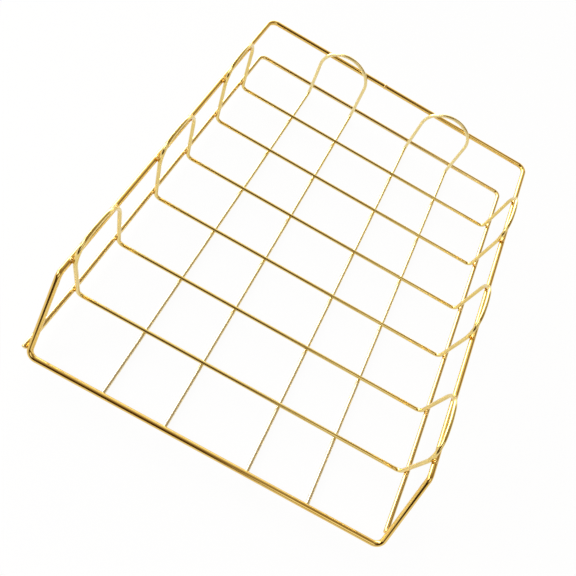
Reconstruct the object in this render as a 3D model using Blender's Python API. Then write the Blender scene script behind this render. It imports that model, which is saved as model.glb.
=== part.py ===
# Wire file basket: an open-fronted letter tray of bent, gold-plated steel wire.
# Seven wires are bent to shape and welded where they cross: a heavy rim that dips to a low lip
# across the front, a lighter base frame round three sides, three closed loops that cross the
# floor and stand up as arches at both sides, and two hairpins that run front to back and stand
# up as arches at the rear.  +X is to the right, +Y to the rear, +Z up.  The origin is on the
# surface that the tray stands on, under the middle of the tray.

import bpy
import bmesh
from math import acos, cos, pi, sin, sqrt, tan
from mathutils import Matrix, Vector
from mathutils.geometry import intersect_point_line

# Wire diameters and the clearance that welded wires keep at a crossing
RIM_D = 0.0038
FRAME_D = 0.0034
GRID_D = 0.0028
WELD_GAP = 0.0003

# Floor plan, between wire centre lines: front to back, then side to side
FRONT_BAY = 0.0481
LOOP_WIDTH = 0.0450
LOOP_GAP = 0.0465
REAR_BAY = 0.0390
SIDE_BAY = 0.0483
HAIRPIN_WIDTH = 0.0423
MIDDLE_BAY = 0.0569

# Heights above the centre line of the wires that cross the floor
FRAME_RISE = 0.0031
RIM_RISE = 0.0412

# Arches: crown above the rim, camber of the crown, and the bends at its shoulders and top
SIDE_CROWN = 0.0142
SIDE_CAMBER = 0.0029
SIDE_SHOULDER_R = 0.0165
SIDE_CROWN_R = 0.0500
BACK_CROWN = 0.0128
BACK_CAMBER = 0.0118
BACK_SHOULDER_R = 0.0200
BACK_CROWN_R = 0.0220

# Bends of the floor wires, the rim and the base frame
FLOOR_BEND_R = 0.0040
RIM_CORNER_R = 0.0065
FRAME_CORNER_R = 0.0050
SLOPE_RUN = 0.0386
SLOPE_BEND_R = 0.0060
LIP_CORNER_R = 0.0055
LIP_INSET = 0.0022
LIP_SHIFT = 0.0010
FRAME_SETBACK = 0.0020
FRAME_SPRING_R = 0.2000
LONG_WIRE_OVERHANG = 0.0010

# Weld metal
BEAD_D = 0.0018
BEAD_LEAN = 70.0 * pi / 180.0
BUTT_D = 0.0043
BUTT_LENGTH = 0.0016
BUTT_SHIFT = 0.0137

# Facets round a wire, and the largest turn between two points along a bend
BEVEL_STEPS = {"rim": 4, "frame": 3, "grid": 3}
BEND_STEP = 12.0 * pi / 180.0

PLATING = {
    "rim": ((0.80, 0.56, 0.20, 1.0), 0.20),
    "frame": ((0.78, 0.55, 0.21, 1.0), 0.24),
    "loop": ((0.76, 0.53, 0.20, 1.0), 0.24),
    "hairpin": ((0.77, 0.55, 0.23, 1.0), 0.26),
    "weld": ((0.62, 0.42, 0.16, 1.0), 0.38),
}

# Levels and positions that follow from the sizes above
GRID_SIDES = 4 + 2 * BEVEL_STEPS["grid"]
LONG_Z = GRID_D / 2 * cos(pi / GRID_SIDES)
CROSS_Z = LONG_Z + GRID_D + WELD_GAP
LIP_Z = LONG_Z + (GRID_D + RIM_D) / 2 + WELD_GAP
FRAME_Z = CROSS_Z + FRAME_RISE
RIM_Z = CROSS_Z + RIM_RISE

LEG_TO_RIM = (GRID_D + RIM_D) / 2 + WELD_GAP
LEG_TO_FRAME = (GRID_D + FRAME_D) / 2 + WELD_GAP
LONG_X = (MIDDLE_BAY / 2, MIDDLE_BAY / 2 + HAIRPIN_WIDTH)
LEG_X = LONG_X[1] + SIDE_BAY
RIM_X = LEG_X + LEG_TO_RIM
FRAME_X = LEG_X + LEG_TO_FRAME

LIP_TO_BACK_LEG = FRONT_BAY + 3 * LOOP_WIDTH + 2 * LOOP_GAP + REAR_BAY
LIP_Y = -(LIP_TO_BACK_LEG + LEG_TO_RIM) / 2
RIM_Y = -LIP_Y
BACK_LEG_Y = RIM_Y - LEG_TO_RIM
FRAME_Y = BACK_LEG_Y + LEG_TO_FRAME


def bent(corners, closed=False):
    """Points along a wire bent at each (position, bend radius) corner."""
    spots = [Vector(spot) for spot, _ in corners]
    count = len(spots)
    runs = [(spots[(i + 1) % count] - spots[i]) for i in range(count)]
    turns = [acos(max(-1.0, min(1.0, runs[i - 1].normalized().dot(runs[i].normalized())))) for i in range(count)]
    if not closed:
        turns[0] = turns[-1] = 0.0
    reach = [radius * tan(turn / 2) for (_, radius), turn in zip(corners, turns)]
    # Two bends that share a short run are both eased until they fit on it
    ease = [1.0] * count
    for i in range(count if closed else count - 1):
        j = (i + 1) % count
        fit = min(1.0, 0.99 * runs[i].length / max(reach[i] + reach[j], 1e-9))
        ease[i] = min(ease[i], fit)
        ease[j] = min(ease[j], fit)
    points = []
    for i, here in enumerate(spots):
        if turns[i] == 0.0:
            points.append(here)
            continue
        into = runs[i - 1].normalized()
        axis = into.cross(runs[i]).normalized()
        start = here - into * reach[i] * ease[i]
        centre = start + axis.cross(into) * reach[i] * ease[i] / tan(turns[i] / 2)
        steps = max(2, round(turns[i] / BEND_STEP))
        for k in range(steps + 1):
            points.append(centre + Matrix.Rotation(turns[i] * k / steps, 3, axis) @ (start - centre))
    return points


def arch(x_axis, along, half, foot_z, top_z, camber, shoulder_r, crown_r):
    """Corners of an upright arch: up one leg, over a cambered crown, down the other."""
    base = Vector(x_axis)
    side = Vector(along) * half
    up = Vector((0, 0, 1))
    return [
        (base - side + up * foot_z, FLOOR_BEND_R),
        (base - side + up * (top_z - camber), shoulder_r),
        (base + up * top_z, crown_r),
        (base + side + up * (top_z - camber), shoulder_r),
        (base + side + up * foot_z, FLOOR_BEND_R),
    ]


def plating(kind):
    colour, roughness = PLATING[kind]
    material = bpy.data.materials.new("gold_" + kind)
    material.use_nodes = True
    shader = material.node_tree.nodes["Principled BSDF"]
    shader.inputs["Base Color"].default_value = colour
    shader.inputs["Metallic"].default_value = 1.0
    shader.inputs["Roughness"].default_value = roughness
    return material


def place(name, data, material, location=(0, 0, 0)):
    part = bpy.data.objects.new(name, data)
    part.location = location
    part.parent = tray
    data.materials.clear()
    data.materials.append(material)
    parts.objects.link(part)
    return part


def wire(name, points, diameter, bevel, material, closed=False, tilt=0.0):
    curve = bpy.data.curves.new(name, "CURVE")
    curve.dimensions = "3D"
    curve.twist_mode = "MINIMUM"
    curve.bevel_depth = diameter / 2
    curve.bevel_resolution = bevel
    curve.use_fill_caps = not closed
    spline = curve.splines.new("POLY")
    spline.points.add(len(points) - 1)
    spline.use_cyclic_u = closed
    for target, point in zip(spline.points, points):
        target.co = (*point, 1.0)
        target.tilt = tilt
    return place(name, curve, material)


def meet(points, level):
    """Where a wire rises through a level, with its direction there, for each crossing in turn."""
    found = []
    for a, b in zip(points, points[1:]):
        if (a.z - level) * (b.z - level) < 0:
            found.append((a.lerp(b, (level - a.z) / (b.z - a.z)), (b - a).normalized()))
    return found


def bead_over(leg, direction, seat, along, seat_d):
    """Centre of a weld bead on top of a wire, tucked against the leg that crosses it."""
    seat = Vector(seat)
    along = Vector(along)
    inward = leg - seat
    inward -= along * inward.dot(along)
    inward.normalize()
    lean = inward * cos(BEAD_LEAN) + Vector((0, 0, 1)) * sin(BEAD_LEAN)
    perch = seat + along * (leg - seat).dot(along) + lean * ((seat_d + BEAD_D) / 2 + WELD_GAP)
    # Slide along the seat until the bead clears the leg
    arm = perch - leg
    a = 1 - along.dot(direction) ** 2
    b = arm.dot(along) - arm.dot(direction) * along.dot(direction)
    c = arm.length_squared - arm.dot(direction) ** 2 - ((GRID_D + BEAD_D) / 2 + WELD_GAP) ** 2
    return perch + along * (sqrt(max(b * b - a * c, 0.0)) - b) / a


for old in list(bpy.data.objects):
    bpy.data.objects.remove(old, do_unlink=True)

parts = bpy.data.collections.new("wire_file_basket")
bpy.context.scene.collection.children.link(parts)
tray = bpy.data.objects.new("tray_origin", None)
parts.objects.link(tray)

rim_gold = plating("rim")
frame_gold = plating("frame")
loop_gold = plating("loop")
hairpin_gold = plating("hairpin")
weld_gold = plating("weld")

# Rim: from the butt weld, left of the middle of the back, round a rear corner, along the side, down a
# slope to the front corner, across the front as the lip, and back the same way.  The lip is shorter
# than the back is wide, and sits a little to the right of the middle
LIP_X = RIM_X - LIP_INSET
BUTT_X = BUTT_LENGTH / 2 + WELD_GAP


def half_rim(sign):
    return [
        ((sign * BUTT_X - BUTT_SHIFT, RIM_Y, RIM_Z), 0),
        ((sign * RIM_X, RIM_Y, RIM_Z), RIM_CORNER_R),
        ((sign * RIM_X, LIP_Y + SLOPE_RUN, RIM_Z), SLOPE_BEND_R),
        ((sign * LIP_X + LIP_SHIFT, LIP_Y, LIP_Z), LIP_CORNER_R),
    ]


rim_path = bent(half_rim(1) + half_rim(-1)[::-1])
wire("rim_wire", rim_path, RIM_D, BEVEL_STEPS["rim"], rim_gold)

butt = bmesh.new()
bmesh.ops.create_cone(butt, cap_ends=True, segments=12, radius1=BUTT_D / 2, radius2=BUTT_D / 2,
                      depth=BUTT_LENGTH, matrix=Matrix.Rotation(pi / 2, 4, "Y"))
butt_mesh = bpy.data.meshes.new("rim_butt_weld")
butt.to_mesh(butt_mesh)
butt.free()
butt_mesh.shade_smooth()
butt_mesh.set_sharp_from_angle(angle=pi / 4)
place("rim_butt_weld", butt_mesh, weld_gold, (-BUTT_SHIFT, RIM_Y, RIM_Z))

# Base frame: round the left, back and right, outside the legs.  Past the front legs its open ends
# spring to the left, so the left one passes outside the rim's slope and stops behind the lip, and
# the right one stops under the slope
def room(spot, size):
    """Clearance that is left between the rim and a round of the given size at a spot."""
    nearest = min((spot - intersect_point_line(spot, a, b)[0]).length
                  if 0 < intersect_point_line(spot, a, b)[1] < 1 else min((spot - a).length, (spot - b).length)
                  for a, b in zip(rim_path, rim_path[1:]))
    return nearest - (size + RIM_D) / 2 - WELD_GAP


def frame_end(sign, sway, part):
    """Centre of the base frame at a part of the way from a front leg to where the left end stops."""
    front_leg = Vector((sign * FRAME_X, LIP_Y + FRONT_BAY, FRAME_Z))
    return front_leg + Vector((-sway, FRAME_SETBACK - FRONT_BAY, 0)) * part


def part_before_rim(track, size):
    """How much of a track a round of the given size can follow before it meets the rim."""
    clear = 0.0
    while clear < 1.0 and room(track(clear + 0.02), size) > 0:
        clear += 0.02
    blocked = clear + 0.02
    for _ in range(30):
        middle = (clear + blocked) / 2
        if room(track(middle), size) > 0:
            clear = middle
        else:
            blocked = middle
    return min(clear, 1.0)


narrow, FRAME_SWAY = 0.0, 2 * RIM_D
for _ in range(30):
    sway = (narrow + FRAME_SWAY) / 2
    if min(room(frame_end(-1, sway, k / 50), FRAME_D) for k in range(51)) > 0:
        FRAME_SWAY = sway
    else:
        narrow = sway
right_part = part_before_rim(lambda part: frame_end(1, FRAME_SWAY, part), FRAME_D)
frame_path = bent([
    (frame_end(-1, FRAME_SWAY, 1.0), 0),
    (frame_end(-1, FRAME_SWAY, 0.0), FRAME_SPRING_R),
    ((-FRAME_X, FRAME_Y, FRAME_Z), FRAME_CORNER_R),
    ((FRAME_X, FRAME_Y, FRAME_Z), FRAME_CORNER_R),
    (frame_end(1, FRAME_SWAY, 0.0), FRAME_SPRING_R),
    (frame_end(1, FRAME_SWAY, right_part), 0),
])
wire("base_frame_wire", frame_path, FRAME_D, BEVEL_STEPS["frame"], frame_gold)

# Cross loops: two runs across the floor, joined at each side by an arch inside the rim
bead = bmesh.new()
bmesh.ops.create_uvsphere(bead, u_segments=8, v_segments=6, radius=BEAD_D / 2)
bead_mesh = bpy.data.meshes.new("weld_bead")
bead.to_mesh(bead_mesh)
bead.free()
bead_mesh.shade_smooth()

forward = Vector((0, -1, 0))
for i, where in enumerate(("front", "middle", "rear")):
    middle_y = LIP_Y + FRONT_BAY + LOOP_WIDTH / 2 + i * (LOOP_WIDTH + LOOP_GAP)
    sides = []
    for sign in (-1, 1):
        sides += arch((sign * LEG_X, middle_y, 0), (0, sign, 0), LOOP_WIDTH / 2,
                      CROSS_Z, RIM_Z + SIDE_CROWN, SIDE_CAMBER, SIDE_SHOULDER_R, SIDE_CROWN_R)
    loop_path = bent(sides, closed=True)
    wire("cross_loop_" + where, loop_path, GRID_D, BEVEL_STEPS["grid"], loop_gold, closed=True)
    for level, tag, seat_x, seat_d in ((FRAME_Z, "base", FRAME_X, FRAME_D), (RIM_Z, "rim", RIM_X, RIM_D)):
        for leg, direction in meet(loop_path + loop_path[:1], level):
            name, sign = ("left", -1) if leg.x < 0 else ("right", 1)
            rear_leg = leg.y > middle_y
            # On the rim a bead keeps to the outside of its arch, which leans in above it
            along = -forward if tag == "rim" and rear_leg else forward
            spot = bead_over(leg, direction, (sign * seat_x, leg.y, level), along, seat_d)
            place("weld_%s_%s_%d" % (tag, name, 1 + 2 * i + rear_leg), bead_mesh, weld_gold, spot)

# Hairpins: two runs along the floor under the loops, joined at the back by an arch inside the rim
for name, sign in (("left", -1), ("right", 1)):
    middle_x = sign * (LONG_X[0] + LONG_X[1]) / 2
    corners = arch((middle_x, BACK_LEG_Y, 0), (1, 0, 0), HAIRPIN_WIDTH / 2,
                   LONG_Z, RIM_Z + BACK_CROWN, BACK_CAMBER, BACK_SHOULDER_R, BACK_CROWN_R)
    front_y = LIP_Y - LONG_WIRE_OVERHANG
    ends = [((middle_x + s * HAIRPIN_WIDTH / 2, front_y, LONG_Z), 0) for s in (-1, 1)]
    hairpin_path = bent([ends[0]] + corners + [ends[1]])
    wire("long_hairpin_" + name, hairpin_path, GRID_D, BEVEL_STEPS["grid"], hairpin_gold)

# Front corners: a bead on each end of the base frame, tucked in against the rim's slope
perch = (FRAME_D + BEAD_D) / 2 + WELD_GAP
for name, sign in (("left", -1), ("right", 1)):
    lean = Vector((-sign * cos(BEAD_LEAN), 0, sin(BEAD_LEAN))) * perch
    top = part_before_rim(lambda part: frame_end(sign, FRAME_SWAY, part) + lean, BEAD_D)
    place("weld_corner_" + name, bead_mesh, weld_gold, frame_end(sign, FRAME_SWAY, top) + lean)
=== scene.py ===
import bpy
import bmesh
from math import acos, cos, pi, radians, sin, tan
from mathutils import Matrix, Vector
from mathutils.kdtree import KDTree


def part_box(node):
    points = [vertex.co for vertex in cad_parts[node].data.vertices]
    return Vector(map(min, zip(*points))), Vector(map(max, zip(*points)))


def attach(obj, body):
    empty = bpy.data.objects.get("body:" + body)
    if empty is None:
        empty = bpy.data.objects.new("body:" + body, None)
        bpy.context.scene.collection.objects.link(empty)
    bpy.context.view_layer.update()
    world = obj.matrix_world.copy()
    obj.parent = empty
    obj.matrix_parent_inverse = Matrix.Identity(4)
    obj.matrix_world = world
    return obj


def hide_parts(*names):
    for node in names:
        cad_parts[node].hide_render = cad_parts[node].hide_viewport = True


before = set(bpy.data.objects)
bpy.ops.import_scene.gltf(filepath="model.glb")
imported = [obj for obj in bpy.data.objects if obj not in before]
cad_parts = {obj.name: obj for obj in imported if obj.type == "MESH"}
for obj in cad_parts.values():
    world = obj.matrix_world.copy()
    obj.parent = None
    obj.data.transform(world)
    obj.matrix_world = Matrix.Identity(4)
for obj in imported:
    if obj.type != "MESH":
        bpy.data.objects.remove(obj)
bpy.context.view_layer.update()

# Rim: one heavy steel wire, bent cold to the tray's outline and gold plated.  It runs level round
# the back and sides, slopes down at both front corners and crosses the front as a low lip.  Its
# two ends meet in a butt weld left of the middle of the back.
RIM_D, GRID_D = 0.0038, 0.0028
WELD_GAP = 0.0003
# The thin wires' solids have ten sides, and stand on a flat one
SOLID_SIDES = 10
LONG_Z = GRID_D / 2 * cos(pi / SOLID_SIDES)
CROSS_Z = LONG_Z + GRID_D + WELD_GAP
LIP_Z = LONG_Z + (GRID_D + RIM_D) / 2 + WELD_GAP
RIM_RISE = 0.0412
RIM_Z = CROSS_Z + RIM_RISE
MIDDLE_BAY, HAIRPIN_WIDTH, SIDE_BAY = 0.0569, 0.0423, 0.0483
LONG_X = (MIDDLE_BAY / 2, MIDDLE_BAY / 2 + HAIRPIN_WIDTH)
LEG_X = LONG_X[1] + SIDE_BAY
LEG_TO_RIM = (GRID_D + RIM_D) / 2 + WELD_GAP
RIM_X = LEG_X + LEG_TO_RIM
FRONT_BAY, LOOP_WIDTH, LOOP_GAP, REAR_BAY = 0.0481, 0.0450, 0.0465, 0.0390
LIP_Y = -(FRONT_BAY + 3 * LOOP_WIDTH + 2 * LOOP_GAP + REAR_BAY + LEG_TO_RIM) / 2
RIM_Y = -LIP_Y
RIM_CORNER_R, SLOPE_RUN, SLOPE_BEND_R, LIP_CORNER_R = 0.0065, 0.0386, 0.0060, 0.0055
LIP_INSET, LIP_SHIFT = 0.0022, 0.0010
# Half the gap that the butt weld fills, and how far left of the middle it is
BUTT_X, BUTT_SHIFT = 0.0011, 0.0137
RIM_FACETS = 32
BEND_STEP, POINT_STEP = radians(5), 0.0025


def bent(corners, closed=False):
    """Points along a wire that is bent at each (position, bend radius) corner, a short step apart."""
    spots = [Vector(spot) for spot, _ in corners]
    count = len(spots)
    runs = [spots[(i + 1) % count] - spots[i] for i in range(count)]
    ways = [run.normalized() for run in runs]
    turns = [acos(max(-1.0, min(1.0, ways[i - 1].dot(ways[i])))) for i in range(count)]
    if not closed:
        turns[0] = turns[-1] = 0.0
    reach = [radius * tan(turn / 2) for (_, radius), turn in zip(corners, turns)]
    # Two bends that share a short run are both eased until they fit on it
    ease = [1.0] * count
    for i in range(count if closed else count - 1):
        j = (i + 1) % count
        fit = min(1.0, 0.99 * runs[i].length / max(reach[i] + reach[j], 1e-9))
        ease[i], ease[j] = min(ease[i], fit), min(ease[j], fit)
    line = []
    for i, here in enumerate(spots):
        if turns[i] == 0.0:
            line.append(here)
            continue
        axis = ways[i - 1].cross(runs[i]).normalized()
        start = here - ways[i - 1] * reach[i] * ease[i]
        centre = start + axis.cross(ways[i - 1]) * reach[i] * ease[i] / tan(turns[i] / 2)
        steps = max(2, round(turns[i] / BEND_STEP))
        for k in range(steps + 1):
            line.append(centre + Matrix.Rotation(turns[i] * k / steps, 3, axis) @ (start - centre))
    if closed:
        # A loop starts and ends at the middle of its first straight run, where its ends are welded
        middle = line[-1].lerp(line[0], 0.5)
        line = [middle] + line + [middle]
    paced = [line[0]]
    for a, b in zip(line, line[1:]):
        pieces = max(1, round((b - a).length / POINT_STEP))
        paced += [a.lerp(b, k / pieces) for k in range(1, pieces + 1)]
    return paced


def drawn_wire_nodes():
    """Node tree: a round wire along a line of edges, its straightened shape kept in 'lay'."""
    tree = bpy.data.node_groups.new("drawn_wire", "GeometryNodeTree")
    face = tree.interface
    face.new_socket("Geometry", in_out="INPUT", socket_type="NodeSocketGeometry")
    for label, kind in (("Diameter", "Float"), ("Sides", "Int"), ("Plating", "Material")):
        face.new_socket(label, in_out="INPUT", socket_type="NodeSocket" + kind)
    face.new_socket("Cut Ends", in_out="INPUT", socket_type="NodeSocketBool").default_value = True
    face.new_socket("Geometry", in_out="OUTPUT", socket_type="NodeSocketGeometry")
    add, link = tree.nodes.new, tree.links.new
    given, made = add("NodeGroupInput"), add("NodeGroupOutput")
    line = add("GeometryNodeMeshToCurve")
    taper = add("GeometryNodeInputNamedAttribute")
    taper.data_type = "FLOAT"
    taper.inputs["Name"].default_value = "taper"
    place = add("GeometryNodeSplineParameter")
    along = add("GeometryNodeCaptureAttribute")
    along.capture_items.new("FLOAT", "run")
    ring = add("GeometryNodeCurvePrimitiveCircle")
    radius = add("ShaderNodeMath")
    radius.operation = "MULTIPLY"
    radius.inputs[1].default_value = 0.5
    here = add("GeometryNodeInputPosition")
    around = add("GeometryNodeCaptureAttribute")
    around.capture_items.new("VECTOR", "ring")
    tube = add("GeometryNodeCurveToMesh")
    shift = add("ShaderNodeCombineXYZ")
    lay = add("ShaderNodeVectorMath")
    lay.operation = "ADD"
    keep = add("GeometryNodeStoreNamedAttribute")
    keep.data_type = "FLOAT_VECTOR"
    keep.domain = "CORNER"
    keep.inputs["Name"].default_value = "lay"
    join = add("GeometryNodeMergeByDistance")
    join.inputs["Distance"].default_value = 1e-6
    smooth = add("GeometryNodeSetShadeSmooth")
    real = add("GeometryNodeRealizeInstances")
    coat = add("GeometryNodeSetMaterial")
    link(given.outputs["Geometry"], line.inputs["Mesh"])
    link(line.outputs["Curve"], along.inputs["Geometry"])
    link(place.outputs["Length"], along.inputs["run"])
    link(given.outputs["Sides"], ring.inputs["Resolution"])
    link(given.outputs["Diameter"], radius.inputs[0])
    link(radius.outputs[0], ring.inputs["Radius"])
    link(ring.outputs["Curve"], around.inputs["Geometry"])
    link(here.outputs["Position"], around.inputs["ring"])
    link(along.outputs["Geometry"], tube.inputs["Curve"])
    link(around.outputs["Geometry"], tube.inputs["Profile Curve"])
    link(taper.outputs["Attribute"], tube.inputs["Scale"])
    link(given.outputs["Cut Ends"], tube.inputs["Fill Caps"])
    link(along.outputs["run"], shift.inputs["Z"])
    link(around.outputs["ring"], lay.inputs[0])
    link(shift.outputs["Vector"], lay.inputs[1])
    link(tube.outputs["Mesh"], keep.inputs["Geometry"])
    link(lay.outputs["Vector"], keep.inputs["Value"])
    link(keep.outputs["Geometry"], join.inputs["Geometry"])
    link(join.outputs["Geometry"], smooth.inputs["Geometry"])
    link(smooth.outputs["Geometry"], real.inputs["Geometry"])
    link(real.outputs["Geometry"], coat.inputs["Geometry"])
    link(given.outputs["Plating"], coat.inputs["Material"])
    link(coat.outputs["Geometry"], made.inputs["Geometry"])
    return tree


drawn_wire = drawn_wire_nodes()


def shaped(name, points, edges, tree, sizes, point_values):
    """A plain mesh piece from a line of points put through a node tree with the sizes given."""
    mesh = bpy.data.meshes.new(name + "_line")
    mesh.from_pydata([tuple(p) for p in points], edges, [])
    for label, values in point_values.items():
        if hasattr(values[0], "__len__"):
            layer = mesh.attributes.new(label, "FLOAT_VECTOR", "POINT")
            layer.data.foreach_set("vector", [x for value in values for x in value])
        else:
            layer = mesh.attributes.new(label, "FLOAT", "POINT")
            layer.data.foreach_set("value", values)
    maker = bpy.data.objects.new(name + "_line", mesh)
    bpy.context.scene.collection.objects.link(maker)
    modifier = maker.modifiers.new("shape", "NODES")
    modifier.node_group = tree
    for item in tree.interface.items_tree:
        if item.in_out == "INPUT" and item.name in sizes:
            modifier[item.identifier] = sizes[item.name]
    graph = bpy.context.evaluated_depsgraph_get()
    graph.update()
    result = bpy.data.meshes.new_from_object(maker.evaluated_get(graph),
                                             preserve_all_data_layers=True, depsgraph=graph)
    result.name = name
    bpy.data.objects.remove(maker, do_unlink=True)
    piece = bpy.data.objects.new(name, result)
    bpy.context.scene.collection.objects.link(piece)
    return piece


# How far a cut end's dressed round reaches back, in diameters, and the share of the diameter there
DRESSED_END = [(0.0, 0.62), (1 / 30, 0.78), (11 / 120, 0.92), (0.1875, 1.0)]


def wire_piece(name, line, diameter, sides, plating, dressed_ends=True, closed=False):
    """A finished wire; a cut end is dressed to a small round, and a closed loop has no ends."""
    taper = [1.0] * len(line)
    if dressed_ends and not closed:
        for _ in range(2):
            end, way = line[0], (line[1] - line[0]).normalized()
            line = [end + way * back * diameter for back, _ in DRESSED_END] + line[1:]
            taper = [share for _, share in DRESSED_END] + taper[1:]
            line, taper = line[::-1], taper[::-1]
    edges = [(i, i + 1) for i in range(len(line) - 1)]
    sizes = {"Diameter": diameter, "Sides": sides, "Plating": plating, "Cut Ends": not closed}
    return shaped(name, line, edges, drawn_wire, sizes, {"taper": taper})


class Sock:
    """A shader socket for plain arithmetic: each sum or product adds the Math node that it needs."""

    def __init__(self, tree, socket):
        self.tree, self.socket = tree, socket

    def add(self, kind, settings=None, sockets=None, out=0):
        node = self.tree.nodes.new(kind)
        for key, value in (settings or {}).items():
            if key == "stops":
                ramp = node.color_ramp
                while len(ramp.elements) < len(value):
                    ramp.elements.new(0.5)
                for stop, (position, colour) in zip(ramp.elements, value):
                    stop.position, stop.color = position, colour
            else:
                setattr(node, key, value)
        for key, value in (sockets or {}).items():
            if isinstance(value, Sock):
                self.tree.links.new(value.socket, node.inputs[key])
            else:
                node.inputs[key].default_value = value
        return Sock(self.tree, node.outputs[out])

    def maths(self, operation, first, second):
        return self.add("ShaderNodeMath", {"operation": operation}, {0: first, 1: second})

    def __add__(self, other):
        return self.maths("ADD", self, other)

    def __sub__(self, other):
        return self.maths("SUBTRACT", self, other)

    def __mul__(self, other):
        return self.maths("MULTIPLY", self, other)

    def __rsub__(self, other):
        return self.maths("SUBTRACT", other, self)

    __radd__ = __add__
    __rmul__ = __mul__

    def between(self, low, high):
        """0 below low, 1 above high, smooth between them."""
        return self.add("ShaderNodeMapRange", {"interpolation_type": "SMOOTHSTEP"},
                        {"Value": self, "From Min": low, "From Max": high})


WORN_GOLD, SCORCHED_GOLD = (0.36, 0.23, 0.06, 1), (0.42, 0.20, 0.045, 1)


def gold_plating(name, colour, deep, roughness, lacquer=0.2, painted_highlight_colour=None):
    """Gold plating on drawn wire: draw lines, cloudy thickness, tint where it was hot, and where the
    piece keeps a painted highlight share, a paler gold painted in as a highlight."""
    material = bpy.data.materials.new(name)
    material.use_nodes = True
    tree = material.node_tree
    shader = tree.nodes["Principled BSDF"]
    start = Sock(tree, None)
    lay = start.add("ShaderNodeAttribute", {"attribute_name": "lay"}, out="Vector")
    heat = start.add("ShaderNodeAttribute", {"attribute_name": "heat"}, out="Fac")

    def stretched(scale):
        return start.add("ShaderNodeVectorMath", {"operation": "MULTIPLY"},
                         {0: lay, 1: scale}, out="Vector")

    def noise(scale, detail):
        return start.add("ShaderNodeTexNoise", {},
                         {"Vector": stretched(scale), "Scale": 1.0, "Detail": detail}, out="Fac")

    def blend(factor, under, over):
        return start.add("ShaderNodeMix", {"data_type": "RGBA"},
                         {"Factor": factor, "A": under, "B": over}, out="Result")

    draw_lines = noise((5200, 5200, 45), 3.0)
    clouds = noise((190, 190, 70), 4.0)
    grain = noise((2600, 2600, 2600), 2.0)
    pits = start.add("ShaderNodeTexVoronoi", {},
                     {"Vector": stretched((900, 900, 900)), "Scale": 1.0}, out="Distance")
    pit = 1 - pits.between(0.06, 0.16)
    base = blend(clouds.between(0.36, 0.70) * 0.55, colour, deep)
    # Painted highlight: a paler gold blended over the base wherever the piece keeps a share of it
    if painted_highlight_colour:
        thinning = start.add("ShaderNodeAttribute", {"attribute_name": "thinning"}, out="Fac")
        base = blend(thinning, base, painted_highlight_colour)
    worn = blend(draw_lines.between(0.52, 0.75) * 0.16, base, WORN_GOLD)
    tint = blend(heat * (0.35 + 0.5 * clouds), worn, SCORCHED_GOLD)
    finish = roughness + 0.10 * (draw_lines - 0.5) + 0.06 * (clouds - 0.5) + 0.14 * heat + 0.12 * pit
    relief = 0.55 * draw_lines + 0.30 * grain - 0.5 * pit
    bump = start.add("ShaderNodeBump", {},
                     {"Strength": 0.05, "Distance": 0.00006, "Height": relief}, out="Normal")
    for key, value in (("Base Color", tint), ("Roughness", finish), ("Normal", bump)):
        tree.links.new(value.socket, shader.inputs[key])
    shader.inputs["Metallic"].default_value = 1.0
    shader.inputs["Coat Weight"].default_value = lacquer
    shader.inputs["Coat IOR"].default_value = 1.6
    shader.inputs["Coat Roughness"].default_value = 0.04
    return material


rim_gold = gold_plating("rim_gold", (0.79, 0.545, 0.15, 1), (0.74, 0.465, 0.10, 1), 0.12)
rim_halves = [[
    ((sign * BUTT_X - BUTT_SHIFT, RIM_Y, RIM_Z), 0),
    ((sign * RIM_X, RIM_Y, RIM_Z), RIM_CORNER_R),
    ((sign * RIM_X, LIP_Y + SLOPE_RUN, RIM_Z), SLOPE_BEND_R),
    ((sign * (RIM_X - LIP_INSET) + LIP_SHIFT, LIP_Y, LIP_Z), LIP_CORNER_R),
] for sign in (1, -1)]
rim_line = bent(rim_halves[0] + rim_halves[1][::-1])
rim = wire_piece("plated_rim", rim_line, RIM_D, RIM_FACETS, rim_gold, dressed_ends=False)
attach(rim, "root")
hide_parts("rim_wire")

# Butt weld: the ring of weld metal that closes the rim left of the middle of the back, ground down until
# it stands only a little proud of the wire, then plated with it.
BUTT_D, BUTT_LENGTH = 0.0043, 0.0026
weld_gold = gold_plating("weld_gold", (0.84, 0.58, 0.19, 1), (0.60, 0.33, 0.08, 1), 0.24)
swell = [0.60, 0.885, 0.93, 0.975, 1.0, 0.985, 1.0, 0.97, 0.93, 0.885, 0.60]
butt_line = [Vector((BUTT_LENGTH * (i / (len(swell) - 1) - 0.5) - BUTT_SHIFT, RIM_Y, RIM_Z))
             for i in range(len(swell))]
butt = shaped("plated_butt_weld", butt_line, [(i, i + 1) for i in range(len(swell) - 1)], drawn_wire,
              {"Diameter": BUTT_D, "Sides": RIM_FACETS, "Plating": weld_gold}, {"taper": swell})
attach(butt, "root")
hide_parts("rim_butt_weld")

# Base frame: a lighter steel wire, bent round the left, back and right and welded to the outside of the
# legs just above the floor.  Its open ends spring a little to the left: the left one passes outside the
# rim's slope and ends beside the lip's corner, and the right one stops under the other slope.
FRAME_D = 0.0034
FRAME_X = LEG_X + (GRID_D + FRAME_D) / 2 + WELD_GAP
FRAME_Y = RIM_Y - LEG_TO_RIM + (GRID_D + FRAME_D) / 2 + WELD_GAP
FRAME_RISE = 0.0031
FRAME_Z = CROSS_Z + FRAME_RISE
FRAME_CORNER_R, FRAME_SPRING_R = 0.0050, 0.2
FRAME_FACETS = 28
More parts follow.
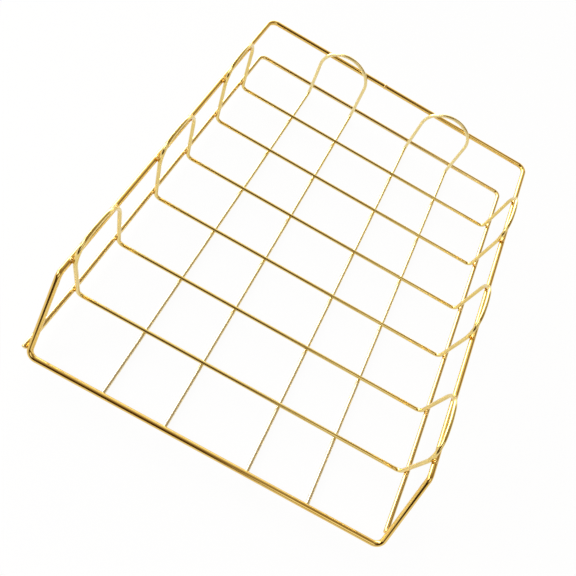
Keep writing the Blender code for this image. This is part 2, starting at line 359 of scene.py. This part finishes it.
# How far behind the lip the two ends stop, and how far to the left each has sprung there
LEFT_STOP, RIGHT_STOP = 0.0020, 0.0079
LEFT_SWAY = 0.00105
RIGHT_SWAY = 0.87 * LEFT_SWAY
FRONT_LEG_Y = LIP_Y + FRONT_BAY
frame_gold = gold_plating("frame_gold", (0.78, 0.595, 0.24, 1), (0.74, 0.52, 0.175, 1), 0.14)
frame_line = bent([
    ((-FRAME_X - LEFT_SWAY, LIP_Y + LEFT_STOP, FRAME_Z), 0),
    ((-FRAME_X, FRONT_LEG_Y, FRAME_Z), FRAME_SPRING_R),
    ((-FRAME_X, FRAME_Y, FRAME_Z), FRAME_CORNER_R),
    ((FRAME_X, FRAME_Y, FRAME_Z), FRAME_CORNER_R),
    ((FRAME_X, FRONT_LEG_Y, FRAME_Z), FRAME_SPRING_R),
    ((FRAME_X - RIGHT_SWAY, LIP_Y + RIGHT_STOP, FRAME_Z), 0),
])
base_frame = wire_piece("plated_base_frame", frame_line, FRAME_D, FRAME_FACETS, frame_gold)
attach(base_frame, "root")
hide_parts("base_frame_wire")

# Cross loops: three thin steel wires, each bent and welded to a closed loop that crosses the floor twice
# and stands up at both sides as an arch.  Their legs are welded to the inside of the base frame and rim.
GRID_FACETS = 24
FLOOR_BEND_R = 0.0040
SIDE_CROWN, SIDE_CAMBER, SIDE_SHOULDER_R, SIDE_CROWN_R = 0.0142, 0.0029, 0.0165, 0.0500


def arch(middle, along, half, foot_z, top_z, camber, shoulder_r, crown_r):
    """Corners of an upright arch: up one leg, over a cambered crown, down the other leg."""
    base, side, up = Vector(middle), Vector(along) * half, Vector((0, 0, 1))
    return [
        (base - side + up * foot_z, FLOOR_BEND_R),
        (base - side + up * (top_z - camber), shoulder_r),
        (base + up * top_z, crown_r),
        (base + side + up * (top_z - camber), shoulder_r),
        (base + side + up * foot_z, FLOOR_BEND_R),
    ]


loop_gold = gold_plating("loop_gold", (0.79, 0.605, 0.21, 1), (0.74, 0.53, 0.145, 1), 0.14)
loops = {}
for i, where in enumerate(("front", "middle", "rear")):
    middle_y = LIP_Y + FRONT_BAY + LOOP_WIDTH / 2 + i * (LOOP_WIDTH + LOOP_GAP)
    corners = []
    for sign in (-1, 1):
        corners += arch((sign * LEG_X, middle_y, 0), (0, sign, 0), LOOP_WIDTH / 2, CROSS_Z,
                        RIM_Z + SIDE_CROWN, SIDE_CAMBER, SIDE_SHOULDER_R, SIDE_CROWN_R)
    loop_line = bent(corners, closed=True)
    loop = wire_piece("plated_loop_" + where, loop_line, GRID_D, GRID_FACETS, loop_gold, closed=True)
    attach(loop, "root")
    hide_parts("cross_loop_" + where)
    loops[where] = (loop, loop_line, middle_y)

# Hairpins: two thin steel wires, spot welded under the loops and the lip.  Each runs back along the floor,
# rises as a low arch inside the back of the rim and returns, and the tray stands on them.  Their plating
# is less bright, and a paler gold is painted over it towards the front as a painted highlight.
BACK_CROWN, BACK_CAMBER, BACK_SHOULDER_R, BACK_CROWN_R = 0.0128, 0.0118, 0.0200, 0.0220
BACK_LEG_Y = RIM_Y - LEG_TO_RIM
LONG_WIRE_OVERHANG = 0.0010
# The last colour in this call is the paler gold of the painted highlight
hairpin_gold = gold_plating("hairpin_gold", (0.84, 0.695, 0.32, 1), (0.79, 0.625, 0.245, 1), 0.30,
                            lacquer=0.6, painted_highlight_colour=(0.85, 0.77, 0.55, 1))
hairpins = {}
for where, sign in (("left", -1), ("right", 1)):
    middle_x = sign * (LONG_X[0] + LONG_X[1]) / 2
    ends = [((middle_x + s * HAIRPIN_WIDTH / 2, LIP_Y - LONG_WIRE_OVERHANG, LONG_Z), 0) for s in (-1, 1)]
    corners = arch((middle_x, BACK_LEG_Y, 0), (1, 0, 0), HAIRPIN_WIDTH / 2, LONG_Z,
                   RIM_Z + BACK_CROWN, BACK_CAMBER, BACK_SHOULDER_R, BACK_CROWN_R)
    hairpin_line = bent([ends[0]] + corners + [ends[1]])
    hairpin = wire_piece("plated_hairpin_" + where, hairpin_line, GRID_D, GRID_FACETS, hairpin_gold)
    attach(hairpin, "root")
    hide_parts("long_hairpin_" + where)
    # Painted highlight: the share of paler gold at each point, growing towards the front
    layer = hairpin.data.attributes.new("thinning", "FLOAT", "POINT")
    for vertex, value in zip(hairpin.data.vertices, layer.data):
        forward_share = (BACK_LEG_Y - vertex.co.y) / (BACK_LEG_Y - LIP_Y)
        value.value = max(0.0, min(1.0, forward_share)) ** 2
    hairpins[where] = (hairpin, hairpin_line, middle_x)

# Weld beads: a drop of weld metal in the nook of two wires, wherever a loop's leg passes the base frame
# or the rim and at each end of the base frame.  They are plated with the tray.
BEAD_D, BEAD_PLUMPNESS, BEAD_LUMPS, BEAD_SEED = 0.0018, 1.28, 0.0007, 7
bead_nodes = [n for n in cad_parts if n.startswith("weld_")]
bead_spots = []
for node in bead_nodes:
    low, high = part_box(node)
    bead_spots.append((Vector(low) + Vector(high)) / 2)


def weld_bead_nodes():
    """Node tree: a lumpy drop of metal at each point, none quite like the next."""
    tree = bpy.data.node_groups.new("weld_bead", "GeometryNodeTree")
    face = tree.interface
    face.new_socket("Geometry", in_out="INPUT", socket_type="NodeSocketGeometry")
    for label, kind in (("Diameter", "Float"), ("Lumps", "Float"), ("Seed", "Int"),
                        ("Plating", "Material")):
        face.new_socket(label, in_out="INPUT", socket_type="NodeSocket" + kind)
    face.new_socket("Geometry", in_out="OUTPUT", socket_type="NodeSocketGeometry")
    add, link = tree.nodes.new, tree.links.new
    given, made = add("NodeGroupInput"), add("NodeGroupOutput")
    spots = add("GeometryNodeMeshToPoints")
    drop = add("GeometryNodeMeshIcoSphere")
    drop.inputs["Subdivisions"].default_value = 4
    radius = add("ShaderNodeMath")
    radius.operation = "MULTIPLY"
    radius.inputs[1].default_value = 0.5
    size = add("FunctionNodeRandomValue")
    size.data_type = "FLOAT"
    size.inputs[2].default_value = 0.94
    size.inputs[3].default_value = 1.08
    squash = add("GeometryNodeInputNamedAttribute")
    squash.data_type = "FLOAT_VECTOR"
    squash.inputs["Name"].default_value = "squash"
    scaled = add("ShaderNodeVectorMath")
    scaled.operation = "SCALE"
    drops = add("GeometryNodeInstanceOnPoints")
    real = add("GeometryNodeRealizeInstances")
    here = add("GeometryNodeInputPosition")
    lumps = add("ShaderNodeTexNoise")
    lumps.inputs["Scale"].default_value = 900.0
    lumps.inputs["Detail"].default_value = 1.0
    centred = add("ShaderNodeMath")
    centred.operation = "SUBTRACT"
    centred.inputs[1].default_value = 0.5
    rise = add("ShaderNodeMath")
    rise.operation = "MULTIPLY"
    out = add("GeometryNodeInputNormal")
    push = add("ShaderNodeVectorMath")
    push.operation = "SCALE"
    moved = add("GeometryNodeSetPosition")
    keep = add("GeometryNodeStoreNamedAttribute")
    keep.data_type = "FLOAT_VECTOR"
    keep.domain = "POINT"
    keep.inputs["Name"].default_value = "lay"
    smooth = add("GeometryNodeSetShadeSmooth")
    coat = add("GeometryNodeSetMaterial")
    link(given.outputs["Geometry"], spots.inputs["Mesh"])
    link(given.outputs["Diameter"], radius.inputs[0])
    link(radius.outputs[0], drop.inputs["Radius"])
    link(given.outputs["Seed"], size.inputs["Seed"])
    link(squash.outputs["Attribute"], scaled.inputs[0])
    link(size.outputs[1], scaled.inputs["Scale"])
    link(spots.outputs["Points"], drops.inputs["Points"])
    link(drop.outputs["Mesh"], drops.inputs["Instance"])
    link(scaled.outputs["Vector"], drops.inputs["Scale"])
    link(drops.outputs["Instances"], real.inputs["Geometry"])
    link(here.outputs["Position"], lumps.inputs["Vector"])
    link(lumps.outputs["Fac"], centred.inputs[0])
    link(centred.outputs[0], rise.inputs[0])
    link(given.outputs["Lumps"], rise.inputs[1])
    link(out.outputs["Normal"], push.inputs[0])
    link(rise.outputs[0], push.inputs["Scale"])
    link(real.outputs["Geometry"], moved.inputs["Geometry"])
    link(push.outputs["Vector"], moved.inputs["Offset"])
    link(moved.outputs["Geometry"], keep.inputs["Geometry"])
    link(here.outputs["Position"], keep.inputs["Value"])
    link(keep.outputs["Geometry"], smooth.inputs["Geometry"])
    link(smooth.outputs["Geometry"], coat.inputs["Geometry"])
    link(given.outputs["Plating"], coat.inputs["Material"])
    link(coat.outputs["Geometry"], made.inputs["Geometry"])
    return tree


weld_bead = weld_bead_nodes()
bead_sizes = {"Diameter": BEAD_D, "Lumps": BEAD_LUMPS, "Seed": BEAD_SEED, "Plating": weld_gold}
beads = shaped("plated_weld_beads", bead_spots, [], weld_bead, bead_sizes,
               {"squash": [(BEAD_PLUMPNESS,) * 3] * len(bead_spots)})
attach(beads, "root")
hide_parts(*bead_nodes)

# Spot welds: where two wires cross they are pressed together hot, and a thin collar of metal is squeezed
# out between them.  There is one at each floor crossing, one under the lip for each end of a hairpin, and
# one between each leg and the wire that it is welded to.
COLLAR_D, COLLAR_SQUEEZE, COLLAR_LUMPS, COLLAR_SEED = 0.0017, 0.42, 0.0003, 3
flat = (1.0, 1.0, COLLAR_SQUEEZE)
upright_x, upright_y = (COLLAR_SQUEEZE, 1.0, 1.0), (1.0, COLLAR_SQUEEZE, 1.0)
TO_COLLAR = (GRID_D + WELD_GAP) / 2


def passing(line, *levels):
    """Each spot at which a wire passes one of the levels, in order along it."""
    return [a.lerp(b, (level - a.z) / (b.z - a.z)) for a, b in zip(line, line[1:]) for level in levels
            if (a.z - level) * (b.z - level) < 0]


collars = []
for _, loop_line, middle_y in loops.values():
    for y in (middle_y - LOOP_WIDTH / 2, middle_y + LOOP_WIDTH / 2):
        collars += [(Vector((s * x, y, (LONG_Z + CROSS_Z) / 2)), flat) for s in (-1, 1) for x in LONG_X]
        collars += [(Vector((s * (LEG_X + TO_COLLAR), y, FRAME_Z)), upright_x) for s in (-1, 1)]
    for spot in passing(loop_line, RIM_Z):
        outwards = 1 if spot.x > 0 else -1
        collars.append((spot + Vector((outwards * TO_COLLAR, 0, 0)), upright_x))
for _, hairpin_line, middle_x in hairpins.values():
    for x in (middle_x - HAIRPIN_WIDTH / 2, middle_x + HAIRPIN_WIDTH / 2):
        collars.append((Vector((x, LIP_Y, LONG_Z + TO_COLLAR)), flat))
    collars += [(spot + Vector((0, TO_COLLAR, 0)), upright_y)
                for spot in passing(hairpin_line, FRAME_Z, RIM_Z)]
collar_spots = [spot for spot, _ in collars]
collar_sizes = {"Diameter": COLLAR_D, "Lumps": COLLAR_LUMPS, "Seed": COLLAR_SEED, "Plating": weld_gold}
spot_welds = shaped("plated_spot_welds", collar_spots, [], weld_bead, collar_sizes,
                    {"squash": [squash for _, squash in collars]})
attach(spot_welds, "root")

# Heat tint: the plating is browned where it lies over metal that the welds made hot.  Each piece keeps
# how near it runs to a weld, which its plating reads.
HEAT_REACH, HEAT_FALL = 0.0055, 1.5
hot_spots = bead_spots + collar_spots
hot = KDTree(len(hot_spots))
for i, spot in enumerate(hot_spots):
    hot.insert(spot, i)
hot.balance()
wires = [rim, base_frame] + [v[0] for v in loops.values()] + [v[0] for v in hairpins.values()]
for piece in wires + [butt, beads, spot_welds]:
    layer = piece.data.attributes.new("heat", "FLOAT", "POINT")
    for vertex, value in zip(piece.data.vertices, layer.data):
        distance = hot.find(vertex.co)[2]
        value.value = max(0.0, 1.0 - distance / HEAT_REACH) ** HEAT_FALL

# Stage: a plain white table, wide enough to reach the horizon.  Most of its white is a glow that the
# camera and the plating see, and the rest is lit paper that keeps the tray's soft shadow.
TABLE_R, TABLE_DROP, GLOW_SHARE = 6.0, 0.0002, 0.95
table_mesh = bpy.data.meshes.new("table")
table_bm = bmesh.new()
bmesh.ops.create_circle(table_bm, cap_ends=True, segments=96, radius=TABLE_R)
table_bm.to_mesh(table_mesh)
table_bm.free()
table_mesh.transform(Matrix.Translation((0, 0, -TABLE_DROP)))
table = bpy.data.objects.new("table", table_mesh)
bpy.context.scene.collection.objects.link(table)
white = bpy.data.materials.new("white_table")
white.use_nodes = True
tree = white.node_tree
paper = tree.nodes["Principled BSDF"]
paper.inputs["Base Color"].default_value = (0.90, 0.90, 0.90, 1)
paper.inputs["Roughness"].default_value = 0.9
paper.inputs["Specular IOR Level"].default_value = 0.0
start = Sock(tree, None)
seen = (start.add("ShaderNodeLightPath", out="Is Camera Ray")
        + start.add("ShaderNodeLightPath", out="Is Glossy Ray")
        + start.add("ShaderNodeLightPath", out="Is Transmission Ray"))
glow = start.add("ShaderNodeEmission", {}, {"Color": (1, 1, 1, 1), "Strength": 1.0})
both = start.add("ShaderNodeMixShader", {},
                 {0: seen * GLOW_SHARE, 1: Sock(tree, paper.outputs[0]), 2: glow})
tree.links.new(both.socket, tree.nodes["Material Output"].inputs["Surface"])
table_mesh.materials.append(white)

# Light: a studio that is white round the horizon, with a bright window low at the left and back and a
# softbox at the left.  It is dim and warm overhead and dimmest in front, so that the plating mirrors
# dark lines between bright ones.
STRENGTH, WINDOW_LEVEL, HORIZON_LEVEL = 1.2, 9.0, 0.85
world = bpy.data.worlds.new("studio")
bpy.context.scene.world = world
world.use_nodes = True
tree = world.node_tree
start = Sock(tree, None)
way = start.add("ShaderNodeTexCoord", out="Generated")
height = start.add("ShaderNodeSeparateXYZ", {}, {0: way}, out="Z")


def towards(direction):
    """1 in a direction, falling to 0 square to it."""
    return start.add("ShaderNodeVectorMath", {"operation": "DOT_PRODUCT"},
                     {0: way, 1: Vector(direction).normalized()}, out="Value")


left, right = towards((-1, 0, 0)), towards((1, 0, 0))
back, front = towards((0, 1, 0)), towards((0, -1, 0))
low = 1 - height.between(0.28, 0.55)
ceiling = (0.30 + 0.15 * left.between(0.0, 0.5)
           + 0.45 * left.between(-0.30, 0.0) * back.between(0.2, 0.5))
front_gloom = ((1 - 0.60 * front.between(0.0, 0.40))
               * (1 - 0.60 * towards((-0.20, -0.70, 0.68)).between(0.90, 0.98)))
front_panel = 0.95 * right.between(0.04, 0.20) * front.between(0.2, 0.5) * height.between(0.35, 0.60)
low_gloom = 1 - (0.92 * front.between(0.55, 0.80) * (1 - height.between(0.30, 0.50))
                 * (1 - 0.8 * right.between(0.08, 0.22)))
shade = (ceiling * front_gloom + front_panel) * low_gloom
window = WINDOW_LEVEL * towards((-0.80, 0.60, 0.05)).between(0.72, 0.97)
right_wall = 0.10 * towards((0.866, 0.5, 0)).between(0.0, 0.6)
back_wall = 0.8 * back.between(0.70, 0.95)
horizon = 1 - height.between(0.15, 0.22)
level = shade + horizon * (HORIZON_LEVEL - shade) + low * (window + right_wall + back_wall)
warmth = [(0.0, (0, 0, 0, 1)), (0.05, (0.05, 0.022, 0.004, 1)), (0.20, (0.20, 0.122, 0.052, 1)),
          (0.35, (0.35, 0.280, 0.185, 1)), (0.52, (0.52, 0.48, 0.415, 1)), (1.0, (1, 1, 1, 1))]
walls = start.add("ShaderNodeValToRGB", {"stops": warmth}, {"Fac": level}, out="Color")
glare = STRENGTH * start.maths("MAXIMUM", level, 1.0)
tree.links.new(walls.socket, tree.nodes["Background"].inputs["Color"])
tree.links.new(glare.socket, tree.nodes["Background"].inputs["Strength"])

lamp = bpy.data.lights.new("softbox", "AREA")
lamp.shape, lamp.size, lamp.energy = "SQUARE", 0.5, 6.3
softbox = bpy.data.objects.new("softbox", lamp)
stand = Vector((-0.98, -0.46, 0.73))
softbox.matrix_world = Matrix.Translation(stand) @ stand.to_track_quat("Z", "Y").to_matrix().to_4x4()
bpy.context.scene.collection.objects.link(softbox)

# Camera: standing in front of the tray and looking down into it, turned on its axis as the photograph is.
# Its lens and the middle of its picture are given in pixels of a square picture.
PICTURE, FOCAL, MIDDLE = 576, 579.729, (312.665, 270.371)
SENSOR = 36.0
EYE = (-0.012884, -0.240039, 0.367090)
azimuth, elevation, roll = radians(4.770), radians(57.358), radians(33.507)
forward = Vector((sin(azimuth) * cos(elevation), cos(azimuth) * cos(elevation), -sin(elevation)))
level_right = forward.cross(Vector((0, 0, 1))).normalized()
level_up = level_right.cross(forward)
view_right = cos(roll) * level_right + sin(roll) * level_up
view_up = cos(roll) * level_up - sin(roll) * level_right
lens = bpy.data.cameras.new("camera")
lens.sensor_width = SENSOR
lens.lens = FOCAL * SENSOR / PICTURE
lens.shift_x = (PICTURE / 2 - MIDDLE[0]) / PICTURE
lens.shift_y = (MIDDLE[1] - PICTURE / 2) / PICTURE
lens.clip_start = 0.01
camera = bpy.data.objects.new("camera", lens)
turn = Matrix((view_right, view_up, -forward)).transposed().to_4x4()
camera.matrix_world = Matrix.Translation(EYE) @ turn
bpy.context.scene.collection.objects.link(camera)
bpy.context.scene.camera = camera
bpy.context.scene.view_settings.view_transform = "Standard"
